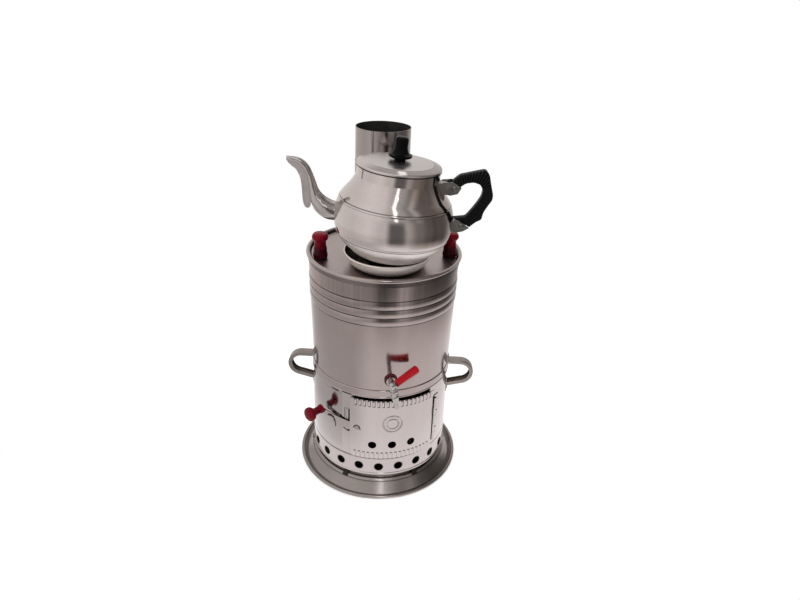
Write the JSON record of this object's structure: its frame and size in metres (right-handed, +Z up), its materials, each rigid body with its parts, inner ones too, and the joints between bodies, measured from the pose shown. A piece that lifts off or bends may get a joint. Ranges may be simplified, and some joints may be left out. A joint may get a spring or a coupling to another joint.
{
  "type": "samovar",
  "caption": "Wood-fired steel samovar with a hinged firebox door, lever tap, side handles, rear chimney and a lidded teapot seated on its lid.",
  "frame": {"origin": "on the floor, at the middle of the flat pan of the base tray, under the axis of the body", "axes": "+Z up along the body's axis, -Y towards the tap and the firebox door, +X to the viewer's right"},
  "size_m": [0.2942, 0.2789, 0.5402],
  "materials": {
    "tray_steel": "polished stainless sheet",
    "firebox_steel": "polished stainless sheet",
    "inner_steel": "plain mill finish",
    "grate_iron": "matt, scaled by heat",
    "fastener_steel": "bright",
    "door_steel": "polished stainless sheet",
    "tank_steel": "finely brushed upwards",
    "pipe_steel": "smooth sheet, soot inside",
    "lid_steel": "bright sheet",
    "red_knob": "glossy, dark red",
    "red_grip": "glossy, bright red",
    "seal_rubber": "matt",
    "brass": "plain",
    "tap_chrome": "bright",
    "handle_steel": "plain bent sheet",
    "teapot_steel": "polished stainless sheet",
    "spout_metal": "polished",
    "bracket_metal": "dull plated sheet",
    "black_plastic": "semi-matt moulded, heat resistant"
  },
  "bodies": {
    "body": {"base_tray": "tray_steel", "foot_ring": "tray_steel", "foot_tabs": "tray_steel", "firebox_shell": "firebox_steel", "grate_ledge": "inner_steel", "fire_grate": "grate_iron", "door_frame_strip": "firebox_steel", "latch_catch": "fastener_steel", "hinge_leaf": "firebox_steel", "seam_band": "tank_steel", "tank_floor": "inner_steel", "tank_shell": "tank_steel", "tank_rim": "tank_steel", "lid_ledge": "inner_steel", "flue_pipe": "pipe_steel", "tap_washer": "seal_rubber", "tap_inner_washer": "seal_rubber", "tap_nut": "brass", "tap_body": "tap_chrome", "left_handle": "handle_steel", "right_handle": "handle_steel", "handle_plates": "handle_steel", "handle_rivets": "fastener_steel"},
    "door": {"door_panel": "door_steel", "hinge_pin": "fastener_steel"},
    "latch": {"latch_rivet": "fastener_steel", "latch_strap": "door_steel", "latch_knob": "red_knob", "latch_knob_screw": "fastener_steel"},
    "tap_valve": {"tap_plug": "tap_chrome", "tap_lever": "tap_chrome", "tap_grip": "red_grip"},
    "lid": {"lid_plate": "lid_steel", "pot_seat": "lid_steel", "lid_knob_left": "red_knob", "lid_knob_right": "red_knob", "lid_knob_screws": "fastener_steel"},
    "chimney": {"chimney_pipe": "pipe_steel"},
    "teapot": {"pot_body": "teapot_steel", "pot_spout": "spout_metal", "pot_upper_bracket": "bracket_metal", "pot_lower_bracket": "bracket_metal", "pot_handle": "black_plastic", "pot_rivets": "fastener_steel"},
    "teapot_lid": {"pot_lid": "teapot_steel", "pot_knob": "black_plastic", "pot_knob_screw": "fastener_steel"}
  },
  "joints": [
    {"name": "door_swing", "type": "hinge", "parent": "body", "child": "door", "pos_m": [0.07262, -0.08443, 0.1145], "axis": [0, 0, 1], "range_deg": [0, 110]},
    {"name": "latch_swing", "type": "hinge", "parent": "door", "child": "latch", "pos_m": [-0.04623, -0.09824, 0.1185], "axis": [0.4258, 0.9048, 0], "range_deg": [0, 15]},
    {"name": "tap_turn", "type": "hinge", "parent": "body", "child": "tap_valve", "pos_m": [0, -0.14252, 0.2062], "axis": [0.1994, 0, -0.9799], "range_deg": [0, 90]},
    {"name": "lid_lift", "type": "slide", "parent": "body", "child": "lid", "axis": [0, 0, 1], "range_m": [0, 0.06]},
    {"name": "chimney_lift", "type": "slide", "parent": "body", "child": "chimney", "axis": [0, 0, 1], "range_m": [0, 0.05]},
    {"name": "teapot_lift", "type": "slide", "parent": "lid", "child": "teapot", "axis": [0, 0, 1], "range_m": [0, 0.06]},
    {"name": "teapot_lid_lift", "type": "slide", "parent": "teapot", "child": "teapot_lid", "axis": [0.069, -0.0099, 0.9976], "range_m": [0, 0.05]}
  ]
}
